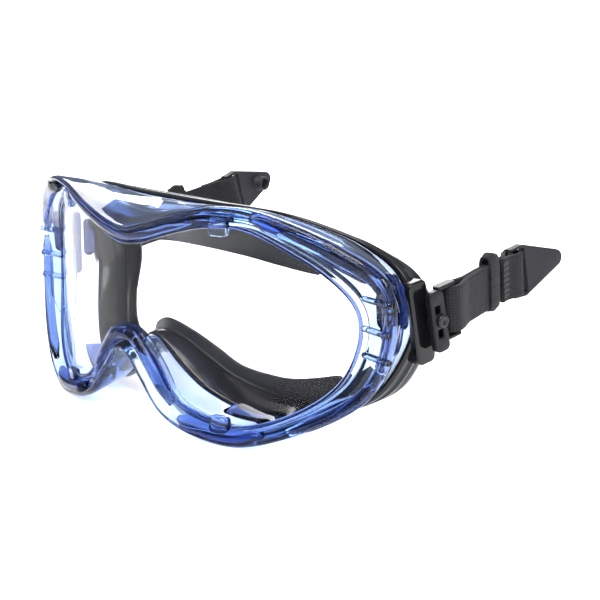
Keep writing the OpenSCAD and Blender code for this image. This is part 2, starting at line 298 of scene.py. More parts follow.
@dataclass(frozen=True)
class WovenPolyester(Finish):
    """Woven webbing: raised threads in rows that follow the strap, painted darker between them as
    shade.
    """

    crest: str = "#1F1E22"
    # colour of the weave's troughs: painted shade between the threads
    painted_trough_shade: str = "#0B0B0D"
    thread_mm: float = 0.8
    fuzz_per_metre: float = 2200.0
    depth: float = 0.4
    thread_height: float = 0.0005
    sheen: float = 0.04

    def dress(self, tree: Tree, place: Socket) -> dict[str, Socket]:
        """Weaves the cloth, with a fibrous fuzz over it.

        The weave's height is the product of two sine waves, one on the sum and one on the
        difference of the distances along and across, so that every other row is shifted. The
        colour follows that height with some fuzz, darker in the troughs: painted shade between
        the threads.

        Args:
            tree: the material's node tree.
            place: the shaded point.

        Returns:
            The surface.
        """
        along, across = (
            add_node(tree, "Attribute", attribute_name=name).outputs["Fac"]
            for name in ("along_mm", "across_mm")
        )
        waves = {}
        for number, way in enumerate(("ADD", "SUBTRACT")):
            lean = add_node(tree, "Math", {0: along, 1: across}, operation=way).outputs[0]
            turn = {0: lean, 1: math.pi / self.thread_mm}
            angle = add_node(tree, "Math", turn, operation="MULTIPLY").outputs[0]
            waves[number] = add_node(tree, "Math", {0: angle}, operation="SINE").outputs[0]
        weave = add_node(tree, "Math", waves, operation="MULTIPLY").outputs[0]
        height = add_node(tree, "MapRange", {"Value": weave, "From Min": -1.0, "From Max": 1.0})
        fuzz = add_node(
            tree, "TexNoise", {"Vector": place, "Scale": self.fuzz_per_metre, "Detail": 3.0}
        )
        blend = {0: 0.35, 2: height.outputs["Result"], 3: fuzz.outputs["Fac"]}
        rough = add_node(tree, "Mix", blend, data_type="FLOAT").outputs[0]
        # the colour ramp darkens the low parts of the weave as painted shade in the troughs between
        # threads; the fuzz adds random tone
        stops = [(0.2, linear(self.painted_trough_shade)), (0.75, linear(self.crest))]
        relief = {"Strength": self.depth, "Distance": self.thread_height, "Height": rough}
        cloth = add_node(
            tree,
            "BsdfPrincipled",
            {
                "Base Color": add_node(tree, "ValToRGB", {"Fac": rough}, stops).outputs["Color"],
                "Roughness": 0.85,
                "Normal": add_node(tree, "Bump", relief).outputs["Normal"],
                "Sheen Weight": self.sheen,
                "Specular IOR Level": 0.25,
            },
        )
        return {"Surface": cloth.outputs[0]}


@dataclass(frozen=True)
class StudioWhite(Finish):
    """Matte white paint on the floor, with a trace of unevenness and a glow that lifts it."""

    colour: str = "#FBFBFB"
    second: str = "#F9F9F9"
    glow: float = 0.45

    def dress(self, tree: Tree, place: Socket) -> dict[str, Socket]:
        """Diffuse white with a faint drift of brightness.

        Args:
            tree: the material's node tree.
            place: the shaded point.

        Returns:
            The surface.
        """
        drift = add_node(tree, "TexNoise", {"Vector": place, "Scale": 1.5}).outputs["Fac"]
        stops = [(0.3, linear(self.second)), (0.7, linear(self.colour))]
        paint = add_node(
            tree,
            "BsdfPrincipled",
            {
                "Base Color": add_node(tree, "ValToRGB", {"Fac": drift}, stops).outputs["Color"],
                "Roughness": 0.9,
                "Specular IOR Level": 0.1,
                "Emission Color": WHITE,
                "Emission Strength": self.glow,
            },
        )
        return {"Surface": paint.outputs[0]}


# Plasticised PVC, injection moulded and polished: glossy, clear, with blue dye that shows in depth.
# Its index is under real PVC's 1.53, which keeps the thin panels easy to see through
FRAME_VINYL = ClearMoulding("blue_clear_vinyl")
# Thick rolls of the same moulding, where light passes through several millimetres of dye
ROLL_VINYL = ClearMoulding(
    "rolled_blue_vinyl", tint="#C9D6EC", dye="#6A93CC", dye_density=330.0, ior=1.25
)
# The same vinyl with more dye, in the vent baffles: nearly opaque blue
BAFFLE_VINYL = ClearMoulding(
    "deep_blue_vinyl", tint="#A9B8DA", dye="#5C78B4", dye_density=900.0, ior=1.2
)
# Polycarbonate sheet with an anti-fog and hard coat, which gives back very little: almost unseen
LENS_SHEET = ClearMoulding(
    "polycarbonate_sheet", tint="#FFFFFF", dye_density=0.0, roughness=0.01, ior=1.1,
    ripple_depth=0.0, shadow="#FFFFFF",
)  # fmt: skip
# Glossy black polypropylene ring, moulded and polished: sharp highlights on near black
RING_GLOSS = MouldedPlastic(
    "gloss_black_ring", colour="#0B0B0D", second="#111114", roughness=0.14, rough_spread=0.04,
    grain_depth=0.008, specular=0.28,
)  # fmt: skip
# Soft moulded elastomer lip, matte with a dusty bloom: broad, dull highlights
LIP_RUBBER = MouldedPlastic(
    "soft_grey_lip", colour="#0D0D0F", second="#151518", roughness=0.38, grain_mm=0.5,
    grain_depth=0.008, patch_mm=18.0, specular=0.25,
)  # fmt: skip
# Glass-filled nylon from a spark-eroded mould: satin black
BRACKET_NYLON = MouldedPlastic(
    "satin_nylon", colour="#0C0C0E", second="#131316", roughness=0.33, grain_mm=0.5,
    grain_depth=0.08, specular=0.2,
)  # fmt: skip
# Moulded nylon clips with a leathery grain: matte charcoal
CLIP_NYLON = MouldedPlastic(
    "charcoal_clip", colour="#1E1C21", second="#26242A", roughness=0.5, grain_mm=0.7,
    grain_depth=0.18, specular=0.2,
)  # fmt: skip
# Moulded nylon pins, taken to be rubbed smooth by the bracket: a little glossier than it
PIN_NYLON = MouldedPlastic(
    "pin_nylon", colour="#151517", second="#1E1E21", roughness=0.28, specular=0.3
)
# Woven polyester webbing: matte charcoal, its threads drawn 0.8 mm wide so that they show
WEBBING = WovenPolyester("charcoal_webbing")
# Polyester sewing thread: fuzzy and paler than the webbing
THREAD = MouldedPlastic(
    "sewing_thread", colour="#3B3B40", second="#4A4A50", roughness=0.8, grain_mm=0.3,
    grain_depth=0.5,
)  # fmt: skip


# ----------------------------------------------- numpy shape helpers


def unit(vectors: np.ndarray) -> np.ndarray:
    """Returns the vectors scaled to a length of one along the last axis."""
    return vectors / np.linalg.norm(vectors, axis=-1, keepdims=True)


def mix(first: np.ndarray, second: np.ndarray, share: float) -> np.ndarray:
    """Returns the point that is share of the way from first to second."""
    return first * (1.0 - share) + second * share


def smooth_step(value: np.ndarray) -> np.ndarray:
    """Returns 3t^2 - 2t^3 of the value clipped to 0..1."""
    t = np.clip(value, 0.0, 1.0)
    return t * t * (3.0 - 2.0 * t)


def smooth_loop(half: Sequence[Sequence[float]], per: int) -> np.ndarray:
    """Carries a closed Catmull-Rom curve through a half outline and its mirror image.

    Args:
        half: points of the left half, x first, from the top middle to the bottom middle.
        per: stations worked out along each stretch.

    Returns:
        The stations, one row each.
    """
    left = np.asarray(half, float)
    right = left[-2:0:-1].copy()
    right[:, 0] *= -1.0
    p = np.vstack([left, right])
    a, b, c, d = np.roll(p, 1, 0), p, np.roll(p, -1, 0), np.roll(p, -2, 0)
    t = (np.arange(per) / per)[None, :, None]
    a, b, c, d = (q[:, None, :] for q in (a, b, c, d))
    curve = (
        2 * b + (c - a) * t + (2 * a - 5 * b + 4 * c - d) * t**2 + (3 * b - a - 3 * c + d) * t**3
    ) / 2
    return curve.reshape(-1, left.shape[1])


def round_corners(sections: np.ndarray, radius: float, cuts: int = 4) -> np.ndarray:
    """Rounds every corner of closed sections with a quadratic curve.

    Each corner gives way to a parabola that leaves its two edges at the radius, or at 0.42 of a
    short edge.

    Args:
        sections: stations by corners by 3.
        radius: how far from the corner the rounding starts.
        cuts: points along each rounding.

    Returns:
        Stations by corners times cuts by 3.
    """
    to_last = np.roll(sections, 1, 1) - sections
    to_next = np.roll(sections, -1, 1) - sections
    last_len = np.linalg.norm(to_last, axis=-1, keepdims=True)
    next_len = np.linalg.norm(to_next, axis=-1, keepdims=True)
    start = sections + to_last / last_len * np.minimum(radius, 0.42 * last_len)
    end = sections + to_next / next_len * np.minimum(radius, 0.42 * next_len)
    t = np.linspace(0.0, 1.0, cuts)[None, None, :, None]
    corner, start, end = (q[:, :, None, :] for q in (sections, start, end))
    curve = (1 - t) ** 2 * start + 2 * t * (1 - t) * corner + t**2 * end
    return curve.reshape(sections.shape[0], -1, 3)


def grid_faces(rows: int, columns: int, wrap_rows: bool, wrap_columns: bool) -> np.ndarray:
    """Joins a grid of points into four-cornered faces.

    Args:
        rows: how many rows of points there are.
        columns: how many points a row has.
        wrap_rows: whether the last row joins the first.
        wrap_columns: whether each row's last point joins its first.

    Returns:
        The numbers of each face's four corners.
    """
    i = np.arange(rows if wrap_rows else rows - 1)
    j = np.arange(columns if wrap_columns else columns - 1)
    i, j = (q.ravel() for q in np.meshgrid(i, j, indexing="ij"))
    below, beside = (i + 1) % rows, (j + 1) % columns
    return np.stack(
        [i * columns + j, below * columns + j, below * columns + beside, i * columns + beside], 1
    )


def to_part(points: np.ndarray) -> np.ndarray:
    """Moves points from the lens frame, in mm, to the part's frame, in metres."""
    return (points + LENS_TO_PART) * MM


def add_object(name: str, data: bpy.types.ID) -> Piece:
    """Puts a mesh, curve, camera or light into the scene.

    Args:
        name: the object's name.
        data: what it shows.

    Returns:
        The new object.
    """
    thing = bpy.data.objects.new(name, data)
    bpy.context.scene.collection.objects.link(thing)
    return thing


def face_outward(work: bmesh.types.BMesh) -> None:
    """Turns every face outwards: all agree, and the volume inside them comes out above zero."""
    bmesh.ops.recalc_face_normals(work, faces=work.faces)
    if work.calc_volume(signed=True) < 0:
        bmesh.ops.reverse_faces(work, faces=work.faces)


def add_mesh(mesh: bpy.types.Mesh, work: bmesh.types.BMesh) -> Piece:
    """Turns worked geometry into a smooth-shaded piece.

    Args:
        mesh: the mesh that takes it, already named as the piece is.
        work: the geometry, freed here.

    Returns:
        The new piece.
    """
    work.to_mesh(mesh)
    work.free()
    mesh.polygons.foreach_set("use_smooth", np.ones(len(mesh.polygons), bool))
    return add_object(mesh.name, mesh)


def loft(
    name: str,
    sections: np.ndarray,
    closed: bool = False,
    along: Optional[np.ndarray] = None,
    across: Optional[np.ndarray] = None,
) -> Piece:
    """Joins closed sections, each point to the same point of the next section.

    The last section joins the first, or else both ends get a flat face.

    Args:
        name: the piece's name.
        sections: sections by points by 3, in the part's frame, in metres.
        closed: whether the last section joins the first.
        along: distance along the cloth at each point, in mm.
        across: distance across the cloth at each point, in mm.

    Returns:
        The new piece, its faces outward.
    """
    rows, columns = sections.shape[:2]
    faces = grid_faces(rows, columns, closed, True).tolist()
    if not closed:
        faces += [list(range(columns)), list(range((rows - 1) * columns, rows * columns))]
    mesh = bpy.data.meshes.new(name)
    mesh.from_pydata(sections.reshape(-1, 3).tolist(), [], faces)
    mesh.validate()
    work = bmesh.new()
    work.from_mesh(mesh)
    face_outward(work)
    piece = add_mesh(mesh, work)
    for label, values in (("along_mm", along), ("across_mm", across)):
        if values is not None:
            attribute = mesh.attributes.new(label, "FLOAT", "POINT")
            attribute.data.foreach_set("value", np.asarray(values, np.float32).ravel())
    return piece


def arc(first: float, last: float, count: int) -> np.ndarray:
    """Returns [cosine, sine] of equal turns from the first angle to the last."""
    turn = np.linspace(first, last, count)
    return np.stack([np.cos(turn), np.sin(turn)], 1)


def circle(sides: int) -> np.ndarray:
    """Returns points on a circle of radius one, as [cosine, sine]."""
    return arc(0.0, 2 * math.pi, sides + 1)[:-1]


def sweep_tube(name: str, path: np.ndarray, radii: np.ndarray, sides: int = 20) -> Piece:
    """Carries a circle of the given radii along a path.

    The circle stands square to the path, on the two directions that are square to its tangent and
    to a fixed direction that the path never runs along.

    Args:
        name: the piece's name.
        path: stations in the part's frame, in metres.
        radii: the circle's radius at each station, in metres.
        sides: points round the circle.

    Returns:
        The tube, its ends closed.
    """
    tangent = unit(np.gradient(path, axis=0))
    guide = np.array([0.31, 0.22, 0.93])
    if abs(float(np.mean(tangent @ guide))) > 0.9:
        guide = np.array([0.9, -0.4, 0.1])
    first = unit(np.cross(tangent, guide))
    second = np.cross(tangent, first)
    turn = circle(sides)
    ring = turn[:, :1] * first[:, None] + turn[:, 1:] * second[:, None]
    return loft(name, path[:, None] + radii[:, None, None] * ring)


def capsule(name: str, start: np.ndarray, end: np.ndarray, radius: float) -> Piece:
    """Makes a rod with round ends: its radius falls as a circle does near each end.

    Args:
        name: the piece's name.
        start: one end, in the part's frame, in metres.
        end: the other end.
        radius: the rod's radius in metres.

    Returns:
        The rod.
    """
    length = float(np.linalg.norm(end - start))
    ends = radius * (1 - np.cos(np.linspace(0.05, math.pi / 2, 8)))
    middle = np.linspace(radius, length - radius, 6)[1:-1]
    reach = np.concatenate([ends, middle, length - ends[::-1]])
    edge = np.minimum(np.minimum(reach, length - reach), radius)
    radii = np.sqrt(np.maximum(radius**2 - (radius - edge) ** 2, 1e-12))
    path = start + (end - start) / length * reach[:, None]
    return sweep_tube(name, path, radii)


def through(place: Matrix, points: np.ndarray) -> np.ndarray:
    """Carries points through a matrix."""
    m = np.array(place)
    return points @ m[:3, :3].T + m[:3, 3]


def lathe(name: str, profile: Sequence[tuple], place: Matrix, sides: int = 40) -> Piece:
    """Turns a profile round its own z axis.

    Args:
        name: the piece's name.
        profile: pairs of radius and height in mm, from the bottom's middle to the top's.
        place: where the axis goes, from mm to the part's frame.
        sides: points round the axis.

    Returns:
        The turned piece, closed at both poles.
    """
    shape = np.asarray(profile, float)[:, None]
    rings = np.maximum(shape[..., :1], POLE_RADIUS) * circle(sides)
    heights = np.broadcast_to(shape[..., 1:], (len(shape), sides, 1))
    return loft(name, through(place, np.concatenate([rings, heights], -1)))


def rounded_rectangle(low: tuple, high: tuple, radius: float) -> np.ndarray:
    """Makes the outline of a rectangle with round corners.

    Args:
        low: its low corner.
        high: its high corner.
        radius: the corners' radius.

    Returns:
        The outline, one row to a point.
    """
    turn = np.linspace(0.0, math.pi / 2, 6)
    quarters = []
    for k, (x_end, y_end) in enumerate(((1, 1), (0, 1), (0, 0), (1, 0))):
        x = high[0] - radius if x_end else low[0] + radius
        y = high[1] - radius if y_end else low[1] + radius
        lead = turn + k * math.pi / 2
        quarters.append(np.stack([x + radius * np.cos(lead), y + radius * np.sin(lead)], 1))
    return np.vstack(quarters)


def cut_plate(
    name: str, outlines: Sequence[np.ndarray], thickness: float, bevel: float, place: Matrix
) -> Piece:
    """Makes a flat plate with softened edges from its outline and the outlines of its holes.

    Args:
        name: the piece's name.
        outlines: closed outlines in mm, already smaller by the bevel, holes larger by it.
        thickness: the plate's thickness in mm, half on each side of z = 0.
        bevel: size of the softened edge in mm.
        place: from the plate's own frame in mm to the part's frame.

    Returns:
        The plate.
    """
    curve = bpy.data.curves.new(name, "CURVE")
    curve.dimensions = "2D"
    curve.fill_mode = "BOTH"
    curve.extrude = thickness / 2 - bevel
    curve.bevel_depth = bevel
    curve.bevel_resolution = 3
    for outline in outlines:
        spline = curve.splines.new("POLY")
        spline.points.add(len(outline) - 1)
        rows = np.ones((len(outline), 4))
        rows[:, :2] = outline
        rows[:, 2] = 0.0
        spline.points.foreach_set("co", rows.ravel())
        spline.use_cyclic_u = True
    holder = add_object(name + "_curve", curve)
    bpy.context.view_layer.update()
    shown = holder.evaluated_get(bpy.context.evaluated_depsgraph_get())
    mesh = bpy.data.meshes.new_from_object(shown)
    bpy.data.objects.remove(holder)
    bpy.data.curves.remove(curve)
    mesh.name = name
    work = bmesh.new()
    work.from_mesh(mesh)
    bmesh.ops.remove_doubles(work, verts=work.verts, dist=0.002)
    bmesh.ops.transform(work, matrix=place, verts=work.verts)
    face_outward(work)
    for edge in work.edges:
        edge.smooth = edge.calc_face_angle(0.0) < CREASE
    return add_mesh(mesh, work)


def chain(place: Matrix, *steps: Sequence) -> Matrix:
    """Carries a frame through moves and turns in its own axes, one after another.

    Args:
        place: the frame to start from.
        steps: each one either how far to move along x, y and z, or an axis's letter and how many
            degrees to turn about it.

    Returns:
        The last frame.
    """
    for step in steps:
        if isinstance(step[0], str):
            place = place @ Matrix.Rotation(math.radians(step[1]), 4, step[0])
        else:
            place = place @ Matrix.Translation(Vector(step))
    return place


def settle(
    piece: Piece, body: str, finish: Finish, replaced: Sequence[str] = ()
) -> None:
    """Dresses a piece and tells the frame what it rides on and what it stands for.

    Args:
        piece: the finished piece.
        body: the body that it moves with.
        finish: what it is made of.
        replaced: the frame's nodes that it stands for.
    """
    piece.data.materials.clear()
    piece.data.materials.append(finish.make())
    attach(piece, body)
    if replaced:
        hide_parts(*replaced)
    LOG.info("%s: %d faces on %s, %s", piece.name, len(piece.data.polygons), body, finish.name)


# ----------------------------------------------- the goggles' own lines

# Lens opening as seen from the front: [x, z]
OPENING_HALF = [
    [0, 18.6], [8, 19.8], [18, 23], [31, 26.3], [44, 26.8], [56, 21.7], [66, 15], [72, 7],
    [72.4, -3], [68, -14], [58, -22.5], [44, -28], [31, -26.5], [21, -22.5], [14, -13.5],
    [6.5, -6.3], [0, -4.6],
]  # fmt: skip
# Outer corner of the front rim as seen from the front: [x, z]
RIM_HALF = [
    [0, 24.5], [9, 26], [21, 29.3], [34, 33], [47, 33.6], [60, 30.6], [73, 25], [84.3, 16.5],
    [86.2, 1], [81, -14.5], [66.5, -25.7], [47, -33.6], [31, -33.4], [18, -29.3], [9.3, -21],
    [3.8, -15], [0, -12.8],
]  # fmt: skip
# Rear edge of the clear frame's outer wall: [x, y, z]
EDGE_HALF = [
    [0, 15, 31], [9, 15, 31], [20, 16, 31], [32, 18, 31], [44, 21, 30.3], [56, 26, 27.6],
    [67, 32, 23], [75, 38, 14.5], [77.3, 40.3, 0], [70, 35, -17.5], [58, 28.5, -26],
    [44, 23, -30.5], [31, 18, -29.5], [18.5, 14, -25], [10, 11, -18.5], [4, 9.5, -12.8],
    [0, 9, -11],
]  # fmt: skip
# Rear outer edge of the black ring: [x, y, z]
RING_HALF = [
    [0, 25, 29.4], [9, 25.2, 29.3], [20, 26, 29], [32, 28.4, 28], [44, 32, 26.2],
    [55, 37, 23.4], [65.5, 42.5, 19.4], [73.5, 48, 13], [76, 50.5, 0], [70, 46, -17.5],
    [58, 39, -24.3], [44, 33, -27], [31, 28, -26.5], [20, 23, -22.5], [12.5, 18.5, -16.8],
    [6, 15.3, -12], [0, 14, -10.4],
]  # fmt: skip
# Inner edge of the lip that touches the face: [x, y, z]
LIP_HALF = [
    [0, 29.5, 14.8], [9, 30, 14.6], [19, 31.2, 14], [29, 33, 12.9], [40, 36, 11.6],
    [50, 40, 10.6], [60, 45.5, 9.6], [66, 51, 6.5], [68, 52.8, -1], [63, 47, -11],
    [52, 39.5, -16.6], [39, 33, -19.6], [30, 29, -19.2], [22, 25, -17], [15.5, 21.5, -12.4],
    [8.5, 18, -8], [0, 16, -5.5],
]  # fmt: skip
BACK = np.array([0.0, 1.0, 0.0])
# Where the left bracket swivels
PIVOT = (82.0, 46.5, 2.9)
# The share of a roll's length over which each end swells
SWELL_SHARE = 0.12
# Air channels inside each temple wall: x, y, top, bottom
CHANNELS = ((80.0, 28.5, 18.0, 3.0), (78.2, 32.2, 17.0, -5.0), (76.2, 36.2, 14.0, 1.0))


@dataclass
class Rails:
    """The closed lines that the front's mouldings follow, at matching stations."""

    lens_radius: float = 118.8
    rim_front: float = 3.5
    rim_wrap: float = 23.5
    rim_half: float = 80.0
    per: int = 12

    def __post_init__(self) -> None:
        """Works out every line's stations and the outward direction at each.

        The rim runs back with the square of its distance from the middle.
        """
        halves = (OPENING_HALF, RIM_HALF, EDGE_HALF, RING_HALF, LIP_HALF)
        self.opening, flat, self.edge, self.ring, self.lip = (
            smooth_loop(half, self.per) for half in halves
        )
        self.out2 = unit(flat - self.opening)
        self.out = np.stack([self.out2[:, 0], np.zeros(len(flat)), self.out2[:, 1]], 1)
        depth = self.rim_wrap * (flat[:, 0] / self.rim_half) ** 2 - self.rim_front
        self.rim = np.stack([flat[:, 0], depth, flat[:, 1]], 1)

    def on_lens(self, flat: np.ndarray, height: float) -> np.ndarray:
        """Raises points on the lens's front along its radius.

        Args:
            flat: the points as seen from the front, [x, z].
            height: how far they are raised.

        Returns:
            The raised points.
        """
        x, z = flat[..., 0], flat[..., 1]
        depth = np.sqrt(self.lens_radius**2 - x**2)
        k = 1.0 + height / self.lens_radius
        return np.stack([x * k, self.lens_radius - depth * k, z], -1)

    def on_shell(self, flat: np.ndarray, height: float) -> np.ndarray:
        """Finds the points straight ahead of [x, z] on the lens's front grown by a height.

        Args:
            flat: the points as seen from the front, [x, z].
            height: how far the front is grown.

        Returns:
            The points.
        """
        x, z = flat[..., 0], flat[..., 1]
        depth = np.sqrt((self.lens_radius + height) ** 2 - x**2)
        return np.stack([x, self.lens_radius - depth, z], -1)

    def near_lens(self, reach: float, height: float) -> np.ndarray:
        """Returns points that far outside the opening and that high over the lens."""
        return self.on_lens(self.opening + reach * self.out2, height)

    def near_shell(self, reach: float, height: float) -> np.ndarray:
        """Returns the same, straight behind the opening, for the groove's walls."""
        return self.on_shell(self.opening + reach * self.out2, height)

    def picks(self, first: float, last: float) -> np.ndarray:
        """Returns the stations from one outline point's number to another's, both included."""
        return np.arange(int(first * self.per), int(last * self.per) + 1) % len(self.opening)

    def strip(self, picks: np.ndarray, span: tuple, depths: tuple) -> np.ndarray:
        """Works out a strip that stands inside the frame's wall and follows it.

        Args:
            picks: the stations that it spans.
            span: where it starts and ends, as shares of the way from the rim to the rear edge.
            depths: how far in from the wall's outer face its two faces lie.

        Returns:
            The strip's closed sections.
        """
        c, e, o = self.rim[picks], self.edge[picks], self.out[picks]
        order = ((0, 0), (1, 0), (1, 1), (0, 1))
        corners = [mix(c, e, span[i]) - depths[j] * o for i, j in order]
        return round_corners(np.stack(corners, 1), 0.4, 3)


@dataclass
class ClearFrame:
    """The soft clear moulding that carries everything, with its ribs and lens tabs."""

    rails: Rails
    lens_thickness: float = 2.0
    groove_depth: float = 1.5
    wall: float = 1.9
    bead_height: float = 1.0
    rib_radius: float = 0.95
    rib_heights: tuple[float, ...] = (10.6, 2.4, -4.9)
    channel_radius: float = 1.9
    tab_at: tuple[float, float, float] = (37.0, 27.6, -28.6)

    def sections(self) -> np.ndarray:
        """Works out the frame's closed sections: bead, front panel, rim, side wall, lens groove.

        Where the side wall comes close to the groove's flange, the hollow between them fills up.

        Returns:
            Sections by points by 3.
        """
        r = self.rails
        c, e, o = r.rim, r.edge, r.out
        bead = r.near_lens(2.7, self.bead_height * 0.35)
        behind = -self.lens_thickness - 0.05
        step_in = (self.wall + 0.2) * o
        inner = mix(c, e, 0.55) - step_in
        flange = r.near_shell(2.3, behind - 0.9)
        gap = ((inner - flange) * o).sum(1, keepdims=True)
        fill = np.clip((3.0 - gap) / 2.0, 0.0, 1.0)
        hollow = c - step_in + (self.wall + 0.5) * BACK
        corners = [
            r.near_shell(0.0, 0.05),
            r.near_lens(0.2, self.bead_height * 0.7),
            r.near_lens(1.0, self.bead_height),
            r.near_lens(2.0, self.bead_height * 0.75),
            bead,
            mix(bead, c, 0.5) - 0.2 * BACK,
            c - 1.4 * o + 0.1 * BACK,
            c - 0.2 * o + 0.9 * BACK,
            c + 2.4 * BACK,
            mix(c, e, 0.55) + 0.5 * o,
            e,
            e - self.wall * o,
            inner,
            hollow * (1 - fill) + (inner + flange) / 2 * fill,
            flange,
            r.near_shell(0.8, behind - 0.7),
            r.near_shell(0.8, behind),
            r.near_shell(self.groove_depth, behind),
            r.near_shell(self.groove_depth, 0.05),
        ]
        return round_corners(np.stack(corners, 1), 0.9, 3)

    def build(self) -> None:
        """Makes the frame, the temple ribs, the air channels and the tabs over the lens's edge."""
        body = loft("clear_frame", to_part(self.sections()), closed=True)
        settle(body, "goggle", FRAME_VINYL, ["frame_body"])
        ribs = [((74.2, 25.3, z), (87.4, 23.3, z)) for z in self.rib_heights]
        channels = [((x, y, top), (x, y, low)) for x, y, top, low in CHANNELS]
        for side in Side:
            self.rods(f"temple_rib_{side.value}", side, ribs)
            self.rods(f"air_channel_{side.value}", side, channels)
            self.tabs(side)

    def rods(self, label: str, side: Side, lines: Sequence[tuple]) -> None:
        """Makes one temple's round-ended ribs or air channels.

        Args:
            label: what the rods' names start with.
            side: which temple.
            lines: each rod's two ends, on the wearer's left.
        """
        is_rib = label.startswith("temple_rib")
        radius = self.rib_radius if is_rib else self.channel_radius
        slot, finish = ("clear_frame", FRAME_VINYL) if is_rib else ("vent_baffle", BAFFLE_VINYL)
        flip = np.array([side.sign, 1.0, 1.0])
        for number, ends in enumerate(lines, 1):
            start, end = to_part(flip * np.array(ends))
            settle(capsule(f"{label}_{number}", start, end, radius * MM), "goggle", finish)

    def tabs(self, side: Side) -> None:
        """Makes the tabs that hold the lens's upper and lower edges.

        Args:
            side: which side of the nose.
        """
        x = self.tab_at[0] * side.sign
        turn = math.degrees(math.asin(x / self.rails.lens_radius))
        outline = rounded_rectangle((-2.6, -2.0), (2.6, 2.0), 0.9)
        for level, z in zip(Level, self.tab_at[1:]):
            middle = self.rails.on_lens(np.array([x, z]), 1.1) + LENS_TO_PART
            seat = chain(MM_FRAME, middle, ("Z", turn), ("X", 90.0))
            tab = cut_plate(f"lens_tab_{level.value}_{side.value}", [outline], 2.4, 0.6, seat)
            settle(tab, "goggle", FRAME_VINYL)


@dataclass
class RolledEdges:
    """The thick rolls in the clear moulding: brow, nose, corners, lobes and the lens's bead."""

    rails: Rails
    brow_radius: float = 2.3
    nose_radius: float = 2.4
    corner_radius: float = 2.5
    rim_radius: float = 1.9
    lobe_radius: float = 2.3
    bead_radius: float = 0.55

    def roll(self, name: str, line: np.ndarray, radius: float, taper: float = 0.5) -> None:
        """Makes one roll along a line, swelling from a thinner end to its full radius and back.

        Args:
            name: the piece's name.
            line: the roll's middle line in the lens frame, in mm.
            radius: the radius where it is thickest.
            taper: the ends' share of that radius.
        """
        share = np.linspace(0.0, 1.0, len(line))
        swell = taper + (1.0 - taper) * smooth_step(np.minimum(share, 1.0 - share) / SWELL_SHARE)
        tube = sweep_tube(name, to_part(line), radius * MM * swell, 16)
        settle(tube, "goggle", ROLL_VINYL)

    def build(self) -> None:
        """Makes every roll, the thicker plate under the brow's middle and the lens's bead."""
        r = self.rails
        self.roll("brow_roll", r.near_lens(3.3, 0.3)[r.picks(-3.7, 3.7)], self.brow_radius)
        under = r.strip(r.picks(-2.6, 2.6), (0.2, 0.92), (2.1, 3.4))
        settle(loft("brow_plate", to_part(under)), "goggle", ROLL_VINYL)
        self.roll("nose_roll", r.near_lens(3.2, 0.4)[r.picks(13, 19)], self.nose_radius)
        spans = (
            ("corner", 4.2, 7.4, self.corner_radius),
            ("rim", 7.5, 10.4, self.rim_radius),
            ("lobe", 10.7, 12.6, self.lobe_radius),
        )
        for side in Side:
            for label, first, last, radius in spans:
                picks = r.picks(first, last)
                inset = r.rim[picks] - (radius + 0.4) * r.out[picks] + radius * BACK
                line = inset * np.array([side.sign, 1.0, 1.0])
                self.roll(f"{label}_roll_{side.value}", line, radius)
        ring = [r.near_lens(0.75 + x, 0.9 + y) for x, y in self.bead_radius * circle(10)]
        bead = loft("lens_bead", to_part(np.stack(ring, 1)), closed=True)
        settle(bead, "goggle", BAFFLE_VINYL)


@dataclass
class LensSheet:
    """The curved clear sheet: two skins of rings round the middle, joined at the rim."""

    rails: Rails
    thickness: float = 2.0
    grow: float = 1.35
    rings: int = 26
    middle: tuple[float, float] = (0.0, 7.0)

    def skin(self, height: float) -> np.ndarray:
        """Works out one face's rings of points, from the middle out to the sheet's edge.

        Args:
            height: how far ahead of the lens's front the face lies.

        Returns:
            Rings by points by 3.
        """
        rim = self.rails.opening + self.grow * self.rails.out2
        middle = np.array(self.middle)
        share = np.linspace(0.004, 1.0, self.rings)[:, None, None]
        return self.rails.on_shell(middle + (rim - middle)[None] * share, height)

    def build(self) -> None:
        """Makes the sheet as one closed piece."""
        points = np.concatenate([self.skin(0.0), self.skin(-self.thickness)[::-1]])
        settle(loft("lens_sheet", to_part(points)), "goggle", LENS_SHEET, ["lens"])


